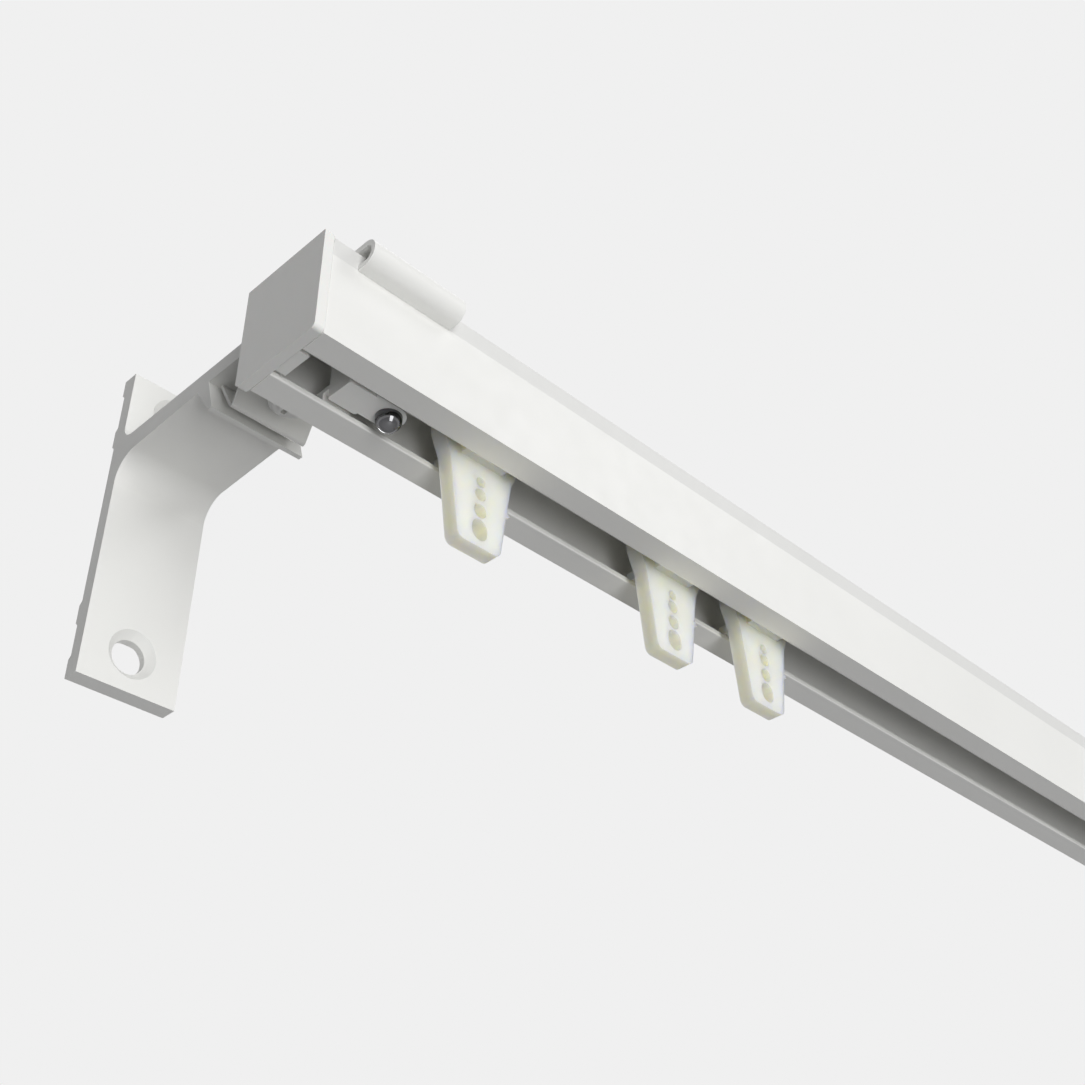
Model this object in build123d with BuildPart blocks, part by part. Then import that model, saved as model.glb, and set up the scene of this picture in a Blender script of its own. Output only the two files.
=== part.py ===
"""Wall-mounted curtain track: an aluminium channel on two clip brackets, with gliders.

Frame: the origin lies on the wall, at the centre of the four wall screws.
+X runs along the track, +Y points into the wall and +Z points up.
All sizes are in millimetres.
"""

import os

from build123d import *

# Overall layout
overall_length = 600.0  # over both end caps
wall_to_track = 60.7  # wall to the middle of the track
underside_z = -5.7  # underside of the track, from the middle of the screw pattern
bracket_inset = 16.05  # end of the track to the middle of a bracket

# Track extrusion
track_width = 17.6
track_height = 19.05
track_wall = 1.1
slot_width = 7.6
slot_edge_radius = 0.25
flare = 0.3  # each side leans out by this much towards the top
flare_height = 3.05
chamber_height = 11.2  # running chamber, from the lips up to the web
web_thickness = 1.0

# End cap
cap_plate = 1.9
cap_rise = 0.65  # how far the cap stands above the track
cap_back_overhang = 1.0
cap_corner_radius = 0.9
cap_edge_radius = 0.2
cap_seam = 0.15  # chamfer round the plate where it meets the track
plug_clearance = 0.1
plug_length = 2.0
crown_plug_length = 6.0
tongue_width = 5.8
tongue_lift = 0.4  # the tongue ends this far above the track's underside

# Wall bracket
bracket_width = 18.6
leg_thickness = 3.45
leg_above_hole = 6.0  # upper hole to the top of the plate
leg_below_hole = 7.1  # lower hole to the bottom of the plate
wall_hole_spacing = 50.0
wall_hole_diameter = 6.2
countersink_diameter = 9.0
countersink_angle = 90.0
pad_relief = 0.65
pad_height = 3.5
pad_above_arm = 0.2
pad_from_hole = 3.4
arm_above_track = 1.95  # arm's top face over the track's top
arm_thickness = 3.05
arm_step = 0.55  # the arm is this much thicker behind the tooth
arm_root_thickness = 4.4
crotch_radius = 3.0
root_radius = 5.0
hook_wall = 0.85
hook_reach = 3.5  # hook's nose in front of the track's flared top
hook_height = 4.95
hook_radius = 2.4
hook_bore_radius = 1.4
hook_tip_drop = 0.15
hook_shelf = 1.1  # arm thickness where the hook starts
hook_shelf_run = 1.9  # the shelf runs this far over the track's front edge
fit_gap = 0.05  # between the bracket, the clamp plate and the track
tooth_from_wall = 30.4  # front root of the tooth
tooth_root_width = 3.2
tooth_height = 6.7
tooth_lean = 2.2
tooth_tip_width = 1.0

# Clamp plate and clamp screw
clamp_width = 14.8
clamp_thickness = 0.5
clamp_drop = 3.05  # arm's underside to the middle of the plate
clamp_lip_overlap = 0.4  # the lip reaches this far above the foot of the flare
fold_from_wall = 35.4  # tip of the V fold
fold_depth = 4.1
fold_front_run = 1.9
fold_back_gap = 0.95  # back end of the V to the root of the tooth
fold_radius = 0.35
clamp_bend_radius = 0.6
clamp_hole_diameter = 4.5
screw_from_wall = 41.2
screw_diameter = 4.0
thread_gap = 0.05
screw_head_diameter = 7.2
screw_head_height = 3.1
screw_head_chamfer = 0.8
screw_end_gap = 0.3
recess_length = 4.2
recess_width = 0.9
recess_depth = 1.3

# End stop and jack screw
stop_start = 11.65  # end of the track to the stop
stop_length = 5.4
stop_height = 6.0
stop_corner_radius = 0.4
foot_width = 5.5
foot_drop = 0.5  # the foot reaches this far below the top of the lips
wing_height = 2.0
wing_side_gap = 0.25
wing_lip_gap = 0.05
relief_over_lip = 0.15  # the wings are hollowed from the foot to this far over the lips
relief_depth = 1.2
jack_start = 9.8  # stop's end to the jack screw
jack_diameter = 3.0
jack_head_diameter = 4.3
jack_head_rise = 0.5  # middle of the dome above the track's underside
jack_tip_gap = 0.05

# Gliders
glider_stations = (39.65, 85.85, 111.6)  # from each end of the track
tab_thickness = 2.95
tab_hang = 15.0  # below the track's underside
tab_bottom_width = 8.9
tab_slot_width = 13.2
tab_corner_radius = 1.4
shoulder_width = 16.8
shoulder_rise = 4.2  # from the track's underside to the widest point
shoulder_radius = 1.2
neck_radius = 4.0
head_rise = 7.7  # from the track's underside to the glider's top
head_radius = 2.0
shoe_length = 9.0
shoe_height = 1.8
shoe_chamfer = 2.2
shoe_side_gap = 0.5
shoe_lip_gap = 0.1
eyelets = ((2.45, 1.8), (4.9, 2.3), (8.1, 2.6))  # depth below the track, diameter
eye_slot_depth = 11.75
eye_slot_width = 3.2
eye_slot_height = 3.9
nub_depth = 6.05  # below the track's underside
nub_reach = 0.75
nub_height = 1.1
nub_thickness = 1.2

# Levels and half sizes of the track
track_y = -wall_to_track
top_z = underside_z + track_height
lip_z = underside_z + track_wall
web_z = lip_z + chamber_height
ceiling_z = top_z - track_wall
flare_z = top_z - flare_height
half_width = track_width / 2
half_top = half_width + flare
half_bore = half_width - track_wall
half_crown = half_top - track_wall
half_length = overall_length / 2
track_end = half_length - cap_plate

# Levels of the bracket, and what seats on it
bracket_x = bracket_inset - half_length
hole_z = wall_hole_spacing / 2
plate_top = hole_z + leg_above_hole
plate_bottom = -hole_z - leg_below_hole
arm_top = top_z + arm_above_track
arm_under = arm_top - arm_thickness
tooth_y = -tooth_from_wall
screw_y = -screw_from_wall
clamp_z = arm_under - clamp_drop
clamp_under = clamp_z - clamp_thickness / 2

# Places of the end stop and its jack screw
stop_x = stop_start - half_length + stop_length / 2
jack_x = stop_start - half_length + jack_start
nose_z = lip_z + wing_lip_gap

across_track = Plane(origin=(0, track_y, 0), x_dir=(0, 1, 0), z_dir=(1, 0, 0))
along_track = Plane(origin=(0, track_y, 0), x_dir=(1, 0, 0), z_dir=(0, -1, 0))

os.makedirs("parts", exist_ok=True)


def face_from(corners):
    """Fill a closed outline given as (across, up, corner radius)."""
    with BuildSketch() as filled:
        with BuildLine():
            FilletPolyline(
                *[(across, up) for across, up, _ in corners],
                radius=[radius for _, _, radius in corners],
                close=True,
            )
        make_face()
    return filled.sketch


def both_sides(right_side):
    """Complete a right-hand half outline, listed from the bottom up, with its mirror image."""
    return right_side + [(-across, up, radius) for across, up, radius in reversed(right_side)]


def track_side(level):
    """Half the track's outside width at a level on its flared top."""
    return half_width + flare * (level - flare_z) / flare_height


def running_chamber(gap=0.0):
    """Section of the chamber in which the gliders run, or of a plug for it."""
    return both_sides([(half_bore - gap, lip_z + gap, 0.0), (half_bore - gap, web_z - gap, 0.0)])


def crown_chamber(gap=0.0):
    """Section of the hollow above the web, or of a plug for it."""
    return both_sides(
        [
            (half_bore - gap, web_z + web_thickness + gap, 0.0),
            (half_bore - gap, flare_z, 0.0),
            (half_crown - gap, ceiling_z - gap, 0.0),
        ]
    )


def save(piece, name):
    """Label a finished piece and write it out."""
    piece.label = name
    export_step(piece, f"parts/{name}.step")


def save_pair(piece, name):
    """Write the piece at the left end and its mirror image at the right end."""
    with BuildPart() as mirrored:
        mirror(piece, about=Plane.YZ)
    save(piece, f"{name}_left")
    save(mirrored.part, f"{name}_right")


# Track: one extrusion with a running chamber, a web and a hollow crown
with BuildPart() as track:
    with BuildSketch(across_track) as section:
        add(
            face_from(
                both_sides(
                    [
                        (half_width, underside_z, 0.0),
                        (half_width, flare_z, 0.0),
                        (half_top, top_z, 0.0),
                    ]
                )
            )
        )
        add(face_from(running_chamber()), mode=Mode.SUBTRACT)
        add(face_from(crown_chamber()), mode=Mode.SUBTRACT)
        with Locations((0, underside_z)):
            Rectangle(slot_width, track_wall, align=(Align.CENTER, Align.MIN), mode=Mode.SUBTRACT)
        lip_ends = [
            corner
            for corner in section.vertices()
            if abs(abs(corner.X) - slot_width / 2) < slot_edge_radius
        ]
        fillet(lip_ends, radius=slot_edge_radius)
    extrude(amount=track_end, both=True)
save(track.part, "track")

# End cap: a plate with a plug for each chamber and a tongue in the slot
with BuildPart() as end_cap:
    with BuildSketch(across_track.offset(-half_length)):
        cap_back = half_top + cap_back_overhang
        cap_top = top_z + cap_rise
        add(
            face_from(
                [
                    (-half_top, underside_z, cap_corner_radius),
                    (cap_back, underside_z, cap_corner_radius),
                    (cap_back, cap_top, cap_edge_radius),
                    (-half_top, cap_top, cap_edge_radius),
                ]
            )
        )
    extrude(amount=cap_plate)
    chamfer(end_cap.edges().group_by(Axis.X)[-1], length=cap_seam)
    with BuildSketch(across_track.offset(-track_end)):
        add(face_from(running_chamber(plug_clearance)))
        tongue_height = track_wall + plug_clearance - tongue_lift
        with Locations((0, underside_z + tongue_lift)):
            Rectangle(tongue_width, tongue_height, align=(Align.CENTER, Align.MIN))
    extrude(amount=plug_length)
    with BuildSketch(across_track.offset(-track_end)):
        add(face_from(crown_chamber(plug_clearance)))
    extrude(amount=crown_plug_length)
save_pair(end_cap.part, "end_cap")

# Wall bracket: one extrusion with a plate, an arm, a tooth and a front hook
hook_nose = track_y - half_top - hook_reach
hook_low = arm_top - hook_height
hook_tip_low = hook_low - hook_tip_drop
hook_tip_high = hook_low + hook_wall
shelf_end = track_y - half_top + hook_shelf_run
seat_z = top_z + fit_gap
seat_back = track_y + half_top + fit_gap
tooth_tip = tooth_y - tooth_lean
bracket_outline = [
    (0, plate_top, 0),
    (-leg_thickness, plate_top, 0),
    (-leg_thickness, arm_top, crotch_radius),
    (hook_nose, arm_top, hook_radius),
    (hook_nose, hook_low, hook_radius),
    (track_y - track_side(hook_tip_low) - fit_gap, hook_tip_low, 0),
    (track_y - track_side(hook_tip_high) - fit_gap, hook_tip_high, 0),
    (hook_nose + hook_wall, hook_tip_high, hook_bore_radius),
    (hook_nose + hook_wall, arm_top - hook_shelf, hook_bore_radius),
    (shelf_end, arm_top - hook_shelf, 0),
    (shelf_end, seat_z, 0),
    (seat_back, seat_z, 0),
    (seat_back, arm_under, 0),
    (tooth_y, arm_under, 0),
    (tooth_tip, arm_under - tooth_height, 0),
    (tooth_tip + tooth_tip_width, arm_under - tooth_height, 0),
    (tooth_y + tooth_root_width, arm_under - arm_step, 0),
    (-leg_thickness, arm_top - arm_root_thickness, root_radius),
    (-leg_thickness, plate_bottom, 0),
    (0, plate_bottom, 0),
]
pads = (
    (plate_bottom, plate_bottom + pad_height),
    (pad_from_hole - hole_z, pad_from_hole - hole_z + pad_height),
    (arm_top + pad_above_arm, arm_top + pad_above_arm + pad_height),
    (plate_top - pad_height, plate_top),
)
with BuildPart() as wall_bracket:
    with BuildSketch(Plane.YZ.offset(bracket_x)):
        add(face_from(bracket_outline))
        for lower_pad, upper_pad in zip(pads, pads[1:]):
            relief = [
                (0, lower_pad[1], 0),
                (-pad_relief, lower_pad[1] + pad_relief, 0),
                (-pad_relief, upper_pad[0] - pad_relief, 0),
                (0, upper_pad[0], 0),
            ]
            add(face_from(relief), mode=Mode.SUBTRACT)
    extrude(amount=bracket_width / 2, both=True)
    for height in (-hole_z, hole_z):
        with Locations(Plane(origin=(bracket_x, -leg_thickness, height), z_dir=(0, -1, 0))):
            CounterSinkHole(
                wall_hole_diameter / 2,
                countersink_diameter / 2,
                depth=leg_thickness,
                counter_sink_angle=countersink_angle,
            )
    with Locations(Plane(origin=(bracket_x, screw_y, arm_top))):
        Hole(screw_diameter / 2, depth=arm_thickness)
save_pair(wall_bracket.part, "wall_bracket")

# Clamp plate: folded spring strip from the track's flared side to the tooth
lip_top = flare_z + clamp_lip_overlap
lip_y = track_y + track_side(lip_top) + fit_gap + clamp_thickness / 2
fold_y = -fold_from_wall
fold_end_z = arm_under - fit_gap - clamp_thickness / 2
with BuildPart() as clamp_plate:
    with BuildLine(Plane.YZ.offset(bracket_x)) as clamp_path:
        FilletPolyline(
            (lip_y, lip_top),
            (lip_y, clamp_z),
            (fold_y - fold_front_run, clamp_z),
            (fold_y, clamp_z - fold_depth),
            (tooth_y - fold_back_gap, fold_end_z),
            radius=(clamp_bend_radius, clamp_bend_radius, fold_radius),
        )
    with BuildSketch(Plane(origin=(bracket_x, lip_y, lip_top))):
        Rectangle(clamp_width, clamp_thickness)
    sweep(path=clamp_path.line)
    with Locations(Plane(origin=(bracket_x, screw_y, clamp_z + clamp_thickness / 2))):
        Hole(clamp_hole_diameter / 2, depth=clamp_thickness)
save_pair(clamp_plate.part, "clamp_plate")

# Clamp screw: pan head under the clamp plate, shank up into the arm
screw_seat = clamp_under - fit_gap
screw_low = screw_seat - screw_head_height
with BuildPart() as clamp_screw:
    with BuildSketch(Plane(origin=(bracket_x, screw_y, screw_low))):
        Circle(screw_head_diameter / 2)
    extrude(amount=screw_head_height)
    chamfer(clamp_screw.edges().sort_by(Axis.Z)[0], length=screw_head_chamfer)
    with BuildSketch(Plane(origin=(bracket_x, screw_y, screw_seat))):
        Circle(screw_diameter / 2 - thread_gap)
    extrude(amount=arm_top - screw_end_gap - screw_seat)
    with BuildSketch(Plane(origin=(bracket_x, screw_y, screw_low))):
        Rectangle(recess_length, recess_width)
        Rectangle(recess_width, recess_length)
    extrude(amount=recess_depth, mode=Mode.SUBTRACT)
save_pair(clamp_screw.part, "clamp_screw")

# End stop: a column through the slot with wings on the lips and a round nose for the screw
foot_z = lip_z - foot_drop
stop_top = nose_z + stop_height
with BuildPart() as end_stop:
    with BuildSketch(Plane(origin=(stop_x, track_y, nose_z))):
        Rectangle(stop_length, 2 * (half_bore - wing_side_gap))
    extrude(amount=wing_height)
    with BuildSketch(Plane(origin=(stop_x, track_y, nose_z))):
        Rectangle(stop_length, slot_width + 2 * relief_over_lip)
    extrude(amount=relief_depth, mode=Mode.SUBTRACT)
    with BuildSketch(Plane(origin=(0, track_y, nose_z))):
        with Locations((jack_x, 0)):
            Circle(foot_width / 2)
        with Locations((stop_x, 0)):
            RectangleRounded(stop_length, foot_width, stop_corner_radius)
            Rectangle(jack_x - stop_x, foot_width, align=(Align.MIN, Align.CENTER))
    extrude(amount=stop_height)
    with BuildSketch(Plane(origin=(stop_x, track_y, foot_z))):
        RectangleRounded(stop_length, foot_width, stop_corner_radius)
    extrude(amount=nose_z - foot_z)
    with Locations(Plane(origin=(jack_x, track_y, stop_top))):
        Hole(jack_diameter / 2, depth=stop_height)
save_pair(end_stop.part, "end_stop")

# Jack screw: domed head under the nose, tip pressed against the web
dome_z = underside_z + jack_head_rise
dome_radius = jack_head_diameter / 2
jack_radius = jack_diameter / 2 - thread_gap
head_top = nose_z - fit_gap
with BuildPart() as jack_screw:
    with BuildSketch(Plane.XZ.offset(-track_y)):
        with BuildLine():
            CenterArc((jack_x, dome_z), dome_radius, -90, 90)
            Polyline(
                (jack_x + dome_radius, dome_z),
                (jack_x + dome_radius, head_top),
                (jack_x + jack_radius, head_top),
                (jack_x + jack_radius, web_z - jack_tip_gap),
                (jack_x, web_z - jack_tip_gap),
                (jack_x, dome_z - dome_radius),
            )
        make_face()
    revolve(axis=Axis((jack_x, track_y, 0), (0, 0, 1)))
save_pair(jack_screw.part, "jack_screw")

# Glider: a flat tab with eyelets, shoulders above the slot and two shoes on the lips
tab_low = underside_z - tab_hang
shoulder_z = underside_z + shoulder_rise
nub_z = underside_z - nub_depth
tab_outline = both_sides(
    [
        (tab_bottom_width / 2, tab_low, tab_corner_radius),
        (tab_slot_width / 2, underside_z, neck_radius),
        (shoulder_width / 2, shoulder_z, shoulder_radius),
        (shoulder_width / 2, underside_z + head_rise, head_radius),
    ]
)
tab_taper = (tab_slot_width - tab_bottom_width) / 2 / tab_hang
nub_edge = tab_slot_width / 2 - tab_taper * nub_depth
with BuildPart() as glider:
    with BuildSketch(along_track):
        add(face_from(tab_outline))
    extrude(amount=tab_thickness / 2, both=True)
    with BuildSketch(Plane(origin=(0, track_y, lip_z + shoe_lip_gap))) as shoe:
        Rectangle(shoe_length, 2 * (half_bore - shoe_side_gap))
        chamfer(shoe.vertices(), length=shoe_chamfer)
    extrude(amount=shoe_height)
    with BuildSketch(along_track.offset(tab_thickness / 2 - nub_thickness)):
        add(
            face_from(
                [
                    (nub_edge - nub_reach, nub_z - nub_height / 2, 0),
                    (nub_edge, nub_z - nub_height / 2, 0),
                    (nub_edge + nub_reach, nub_z, 0),
                    (nub_edge, nub_z + nub_height / 2, 0),
                    (nub_edge - nub_reach, nub_z + nub_height / 2, 0),
                ]
            )
        )
    extrude(amount=nub_thickness)
    with BuildSketch(along_track.offset(-tab_thickness)):
        for depth, diameter in eyelets:
            with Locations((0, underside_z - depth)):
                Circle(diameter / 2)
        with Locations((0, underside_z - eye_slot_depth)):
            SlotOverall(eye_slot_height, eye_slot_width, rotation=90)
    extrude(amount=2 * tab_thickness, mode=Mode.SUBTRACT)

left_stations = [station - half_length for station in glider_stations]
stations = left_stations + [-station for station in reversed(left_stations)]
for number, station in enumerate(stations, start=1):
    with BuildPart() as placed_glider:
        with Locations((station, 0, 0)):
            add(glider.part)
    save(placed_glider.part, f"glider_{number}")
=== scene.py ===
from math import cos, radians, sin

import bpy
from mathutils import Matrix, Vector


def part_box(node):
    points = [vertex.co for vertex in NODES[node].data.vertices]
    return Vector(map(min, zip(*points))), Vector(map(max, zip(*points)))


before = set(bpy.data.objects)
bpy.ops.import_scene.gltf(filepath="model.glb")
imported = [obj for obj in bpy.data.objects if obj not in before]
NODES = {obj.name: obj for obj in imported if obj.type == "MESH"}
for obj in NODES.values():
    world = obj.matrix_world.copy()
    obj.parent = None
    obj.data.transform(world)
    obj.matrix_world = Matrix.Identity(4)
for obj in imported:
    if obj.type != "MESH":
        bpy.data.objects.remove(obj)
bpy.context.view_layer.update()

# Colours are linear values, lengths are metres.
COAT_WHITE = (0.89, 0.89, 0.866, 1.0)
COAT_WHITE_LOW = (0.87, 0.87, 0.846, 1.0)
# Painted shade: the track's flared top edge is coloured a little greyer than the face below it,
# standing in for the shade that edge falls in.
EDGE_PAINTED_SHADE = (0.87, 0.87, 0.875, 1.0)
FLARE_HEIGHT = 0.00305
CAP_WHITE = COAT_WHITE
CAP_WHITE_LOW = COAT_WHITE_LOW
NYLON = (0.978, 0.966, 0.832, 1.0)
NYLON_LOW = (0.965, 0.946, 0.765, 1.0)
CHROME = (0.16, 0.16, 0.166, 1.0)
CHROME_LOW = (0.13, 0.13, 0.135, 1.0)
# How far light passes through the nylon, and how that differs for red, green and blue.
NYLON_REACH = 0.0055
NYLON_PASSES = (1.0, 0.86, 0.48)

# The floor is far below, and gives little light back to the object.
FLOOR_REACH = 9.0
FLOOR_LEVEL = -3.00
FLOOR_PALE = (0.82, 0.82, 0.82, 1.0)
FLOOR_BOUNCE = (0.21, 0.21, 0.213, 1.0)
SKY_SEEN = (0.871, 0.871, 0.871, 1.0)
SKY_FILL = (0.122, 0.122, 0.124, 1.0)
LIT_PLACE = Vector((-0.15, -0.05, 0.0))
# name, azimuth from the room side towards +X, elevation, distance, (width, height), power in watts
LAMPS = (
    ("window", -16, -9, 3.2, (1.5, 4.2), 98.0),
    ("right_lamp", 45, 40, 3.0, (0.95, 0.95), 10.5),
    ("back_lamp", 165, 12, 3.2, (1.6, 1.6), 46.0),
)
# azimuth, elevation, how wide the source looks in degrees, watts per square metre
TOP_LIGHT = (150, 78, 24, 1.5)
TOP_LIGHT_DISTANCE = 4.0

CAMERA_PLACE = Vector((-0.39012, -0.20575, -0.15654))
CAMERA_FORWARD = Vector((1.0, 1.0, 1.0)).normalized()
CAMERA_UP = Vector((-1.0, -1.0, 2.0)).normalized()
LENS_MM = 50.815
SENSOR_MM = 36.0


# Materials
class Graph:
    """One node material, with short helpers for the nodes that every finish here uses."""

    def __init__(self, name):
        self.material = bpy.data.materials.new(name)
        self.material.use_nodes = True
        self.tree = self.material.node_tree
        self.shader = self.tree.nodes["Principled BSDF"]
        self.place = self.tree.nodes.new("ShaderNodeTexCoord").outputs["Object"]

    def link(self, output, socket):
        self.tree.links.new(output, socket)

    def moved(self, offset=(0, 0, 0), scale=(1, 1, 1)):
        node = self.tree.nodes.new("ShaderNodeMapping")
        node.inputs["Location"].default_value = offset
        node.inputs["Scale"].default_value = scale
        self.link(self.place, node.inputs["Vector"])
        return node.outputs["Vector"]

    def noise(self, scale, detail=3.0, vector=None):
        node = self.tree.nodes.new("ShaderNodeTexNoise")
        node.inputs["Scale"].default_value = scale
        node.inputs["Detail"].default_value = detail
        self.link(vector or self.place, node.inputs["Vector"])
        return node.outputs["Fac"]

    def rings(self, scale, vector, distortion=0.6):
        node = self.tree.nodes.new("ShaderNodeTexWave")
        node.wave_type = "RINGS"
        node.rings_direction = "Z"
        node.inputs["Scale"].default_value = scale
        node.inputs["Distortion"].default_value = distortion
        self.link(vector, node.inputs["Vector"])
        return node.outputs["Fac"]

    def colours(self, fac, low, high, start=0.3, end=0.7):
        node = self.tree.nodes.new("ShaderNodeValToRGB")
        node.color_ramp.elements[0].position = start
        node.color_ramp.elements[0].color = low
        node.color_ramp.elements[1].position = end
        node.color_ramp.elements[1].color = high
        self.link(fac, node.inputs["Fac"])
        self.link(node.outputs["Color"], self.shader.inputs["Base Color"])

    def paint_shade_above(self, level, painted_shade):
        """Painted shade: multiply the colour by a darker shade above a level."""
        split = self.tree.nodes.new("ShaderNodeSeparateXYZ")
        self.link(self.place, split.inputs["Vector"])
        above = self.tree.nodes.new("ShaderNodeMath")
        above.operation = "GREATER_THAN"
        above.inputs[1].default_value = level
        self.link(split.outputs["Z"], above.inputs[0])
        mix = self.tree.nodes.new("ShaderNodeMixRGB")
        mix.blend_type = "MULTIPLY"
        mix.inputs["Color2"].default_value = painted_shade
        self.link(above.outputs["Value"], mix.inputs["Fac"])
        self.link(self.shader.inputs["Base Color"].links[0].from_socket, mix.inputs["Color1"])
        self.link(mix.outputs["Color"], self.shader.inputs["Base Color"])

    def roughness(self, fac, low, high):
        """Spread the middle half of a noise over a range of roughness."""
        node = self.tree.nodes.new("ShaderNodeMapRange")
        node.inputs["From Min"].default_value = 0.25
        node.inputs["From Max"].default_value = 0.75
        node.inputs["To Min"].default_value = low
        node.inputs["To Max"].default_value = high
        self.link(fac, node.inputs["Value"])
        self.link(node.outputs["Result"], self.shader.inputs["Roughness"])

    def bumps(self, *heights):
        """Each height is (output, strength, depth in metres)."""
        below = None
        for output, strength, depth in heights:
            node = self.tree.nodes.new("ShaderNodeBump")
            node.inputs["Strength"].default_value = strength
            node.inputs["Distance"].default_value = depth
            self.link(output, node.inputs["Height"])
            if below is not None:
                self.link(below, node.inputs["Normal"])
            below = node.outputs["Normal"]
        self.link(below, self.shader.inputs["Normal"])

    def set(self, **values):
        for socket, value in values.items():
            self.shader.inputs[socket.replace("_", " ")].default_value = value


def powder_coat(name, die_lines=0.0, painted_shade_level=None):
    """Satin white coat with a fine orange peel, over an extrusion's faint lengthwise lines, and painted
    shade above a level where one is given.
    """
    g = Graph(name)
    g.colours(g.noise(38.0, detail=4.0), COAT_WHITE_LOW, COAT_WHITE)
    # Painted shade: above this level the coat's colour is darkened to stand in for shade.
    if painted_shade_level:
        g.paint_shade_above(painted_shade_level, EDGE_PAINTED_SHADE)
    g.roughness(g.noise(240.0), low=0.40, high=0.52)
    heights = [(g.noise(1500.0, detail=2.0), 0.20, 0.00003)]
    if die_lines:
        lines = g.noise(1.0, detail=2.0, vector=g.moved(scale=(6.0, 2600.0, 2600.0)))
        heights.append((lines, die_lines, 0.00002))
    g.bumps(*heights)
    g.set(IOR=1.45)
    return g.material


def moulded_white(name):
    """Satin moulded plastic with a fine eroded grain and a trace of translucency."""
    g = Graph(name)
    g.colours(g.noise(45.0), CAP_WHITE_LOW, CAP_WHITE)
    g.roughness(g.noise(420.0), low=0.38, high=0.50)
    g.bumps((g.noise(3200.0, detail=2.0), 0.25, 0.00002))
    g.set(Subsurface_Weight=0.04, Subsurface_Scale=0.0005, IOR=1.46)
    return g.material


def nylon(name):
    """Natural nylon: milky, slightly yellow, light passes a short way through it."""
    g = Graph(name)
    g.colours(g.noise(160.0, detail=4.0), NYLON_LOW, NYLON)
    g.roughness(g.noise(500.0, detail=2.0), low=0.34, high=0.46)
    g.bumps((g.noise(900.0), 0.18, 0.00004))
    g.set(Subsurface_Weight=1.0, Subsurface_Scale=NYLON_REACH, Subsurface_Radius=NYLON_PASSES, IOR=1.46)
    return g.material


def chromed(name, node, grain=0.04):
    """Dark chrome plating, with faint turning rings round the screw's own axis."""
    lowest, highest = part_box(node)
    centre = (lowest + highest) / 2
    g = Graph(name)
    around = g.moved(offset=(-centre.x, -centre.y, 0.0))
    g.colours(g.noise(700.0, detail=4.0), CHROME_LOW, CHROME)
    g.roughness(g.noise(900.0), low=0.03, high=0.09)
    g.bumps((g.rings(900.0, around), grain, 0.00001), (g.noise(1400.0), grain, 0.00001))
    g.set(Metallic=1.0)
    return g.material


def assign(material, *nodes):
    """Give a material to every face of these CAD nodes."""
    for node in nodes:
        for holder in NODES[node].material_slots:
            holder.material = material


def pair(name):
    return name + "_left", name + "_right"


def finish_parts():
    flare_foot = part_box("track")[1].z - FLARE_HEIGHT
    # The flared top edge above its foot gets painted shade.
    assign(powder_coat("coated_track", die_lines=0.25, painted_shade_level=flare_foot), "track")
    assign(powder_coat("coated_bracket"), *pair("wall_bracket"))
    assign(powder_coat("coated_sheet"), *pair("clamp_plate"))
    assign(moulded_white("cap_plastic"), *pair("end_cap"))
    assign(moulded_white("stop_plastic"), *pair("end_stop"))
    assign(powder_coat("coated_screw"), *pair("clamp_screw"))
    for screw in pair("jack_screw"):
        assign(chromed("chromed_" + screw, screw), screw)
    assign(nylon("glider_nylon"), *[node for node in NODES if node.startswith("glider_")])


# Stage and light
def seen_directly(tree):
    """1 for what the camera sees, directly or in metal or glass, and 0 for bounced light."""
    path = tree.nodes.new("ShaderNodeLightPath")
    either = tree.nodes.new("ShaderNodeMath")
    either.operation = "MAXIMUM"
    tree.links.new(path.outputs["Is Camera Ray"], either.inputs[0])
    tree.links.new(path.outputs["Is Glossy Ray"], either.inputs[1])
    any_ray = tree.nodes.new("ShaderNodeMath")
    any_ray.operation = "MAXIMUM"
    tree.links.new(either.outputs["Value"], any_ray.inputs[0])
    tree.links.new(path.outputs["Is Transmission Ray"], any_ray.inputs[1])
    return any_ray.outputs["Value"]


def pale_floor():
    """A square that looks pale, but returns only a little of its light to the object."""
    signs = ((-1, -1), (1, -1), (1, 1), (-1, 1))
    corners = [(x * FLOOR_REACH, y * FLOOR_REACH, FLOOR_LEVEL) for x, y in signs]
    mesh = bpy.data.meshes.new("floor")
    mesh.from_pydata(corners, [], [(0, 1, 2, 3)])
    floor = bpy.data.objects.new("floor", mesh)
    bpy.context.scene.collection.objects.link(floor)
    g = Graph("floor_paint")
    g.colours(seen_directly(g.tree), FLOOR_BOUNCE, FLOOR_PALE, start=0.0, end=1.0)
    g.set(Roughness=0.8)
    floor.data.materials.append(g.material)


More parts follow.
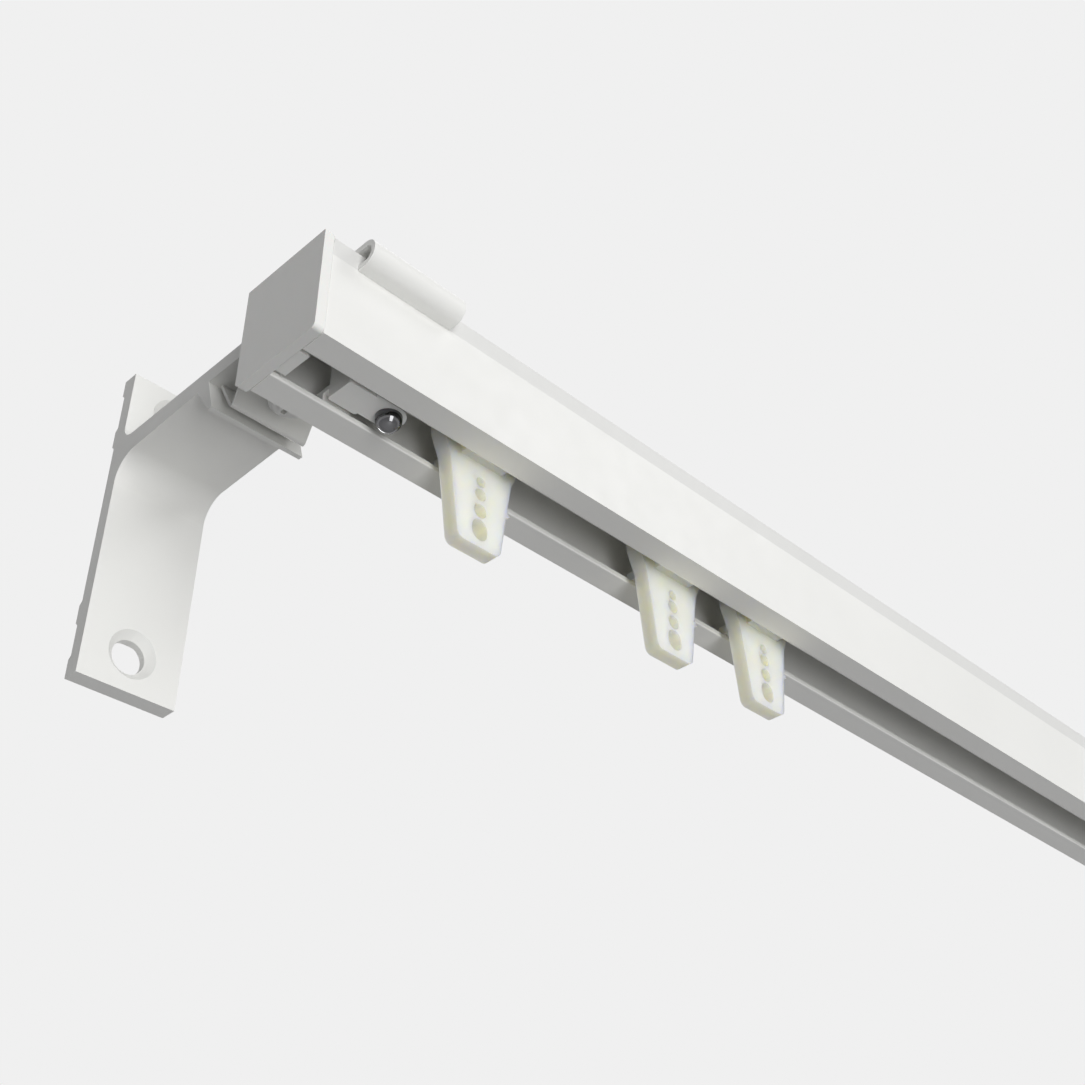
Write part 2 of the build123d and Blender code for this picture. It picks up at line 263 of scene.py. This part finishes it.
def sky():
    """A pale background behind the object, and a weaker even light on it."""
    world = bpy.data.worlds.new("studio")
    bpy.context.scene.world = world
    world.use_nodes = True
    tree = world.node_tree
    tree.nodes.clear()
    out = tree.nodes.new("ShaderNodeOutputWorld")
    mix = tree.nodes.new("ShaderNodeMixShader")
    fill = tree.nodes.new("ShaderNodeBackground")
    fill.inputs["Color"].default_value = SKY_FILL
    seen = tree.nodes.new("ShaderNodeBackground")
    seen.inputs["Color"].default_value = SKY_SEEN
    tree.links.new(seen_directly(tree), mix.inputs["Fac"])
    tree.links.new(fill.outputs["Background"], mix.inputs[1])
    tree.links.new(seen.outputs["Background"], mix.inputs[2])
    tree.links.new(mix.outputs["Shader"], out.inputs["Surface"])


def hang_light(light, azimuth, elevation, distance):
    """Put a lamp at a distance from the lit place and turn it towards that place."""
    turn, rise = radians(azimuth), radians(elevation)
    out = Vector((sin(turn) * cos(rise), -cos(turn) * cos(rise), sin(rise)))
    holder = bpy.data.objects.new(light.name, light)
    holder.location = LIT_PLACE + distance * out
    holder.rotation_euler = out.to_track_quat("Z", "Y").to_euler()
    holder.visible_camera = False
    bpy.context.scene.collection.objects.link(holder)


def panel(name, azimuth, elevation, distance, size, power):
    """A flat soft lamp."""
    light = bpy.data.lights.new(name, "AREA")
    light.shape = "RECTANGLE"
    light.size, light.size_y = size
    light.energy = power
    hang_light(light, azimuth, elevation, distance)


def top_light(azimuth, elevation, spread, strength):
    """Even light from above on the object's top and on the floor far below it."""
    light = bpy.data.lights.new("top_light", "SUN")
    light.angle = radians(spread)
    light.energy = strength
    hang_light(light, azimuth, elevation, TOP_LIGHT_DISTANCE)


def camera():
    lens = bpy.data.cameras.new("camera")
    lens.sensor_width = SENSOR_MM
    lens.lens = LENS_MM
    lens.clip_start = 0.01
    holder = bpy.data.objects.new("camera", lens)
    right = CAMERA_FORWARD.cross(CAMERA_UP)
    turn = Matrix((right, CAMERA_UP, -CAMERA_FORWARD)).transposed().to_4x4()
    holder.matrix_world = Matrix.Translation(CAMERA_PLACE) @ turn
    bpy.context.scene.collection.objects.link(holder)
    bpy.context.scene.camera = holder


finish_parts()
pale_floor()
sky()
for lamp in LAMPS:
    panel(*lamp)
top_light(*TOP_LIGHT)
bpy.context.scene.view_settings.view_transform = "Standard"
camera()
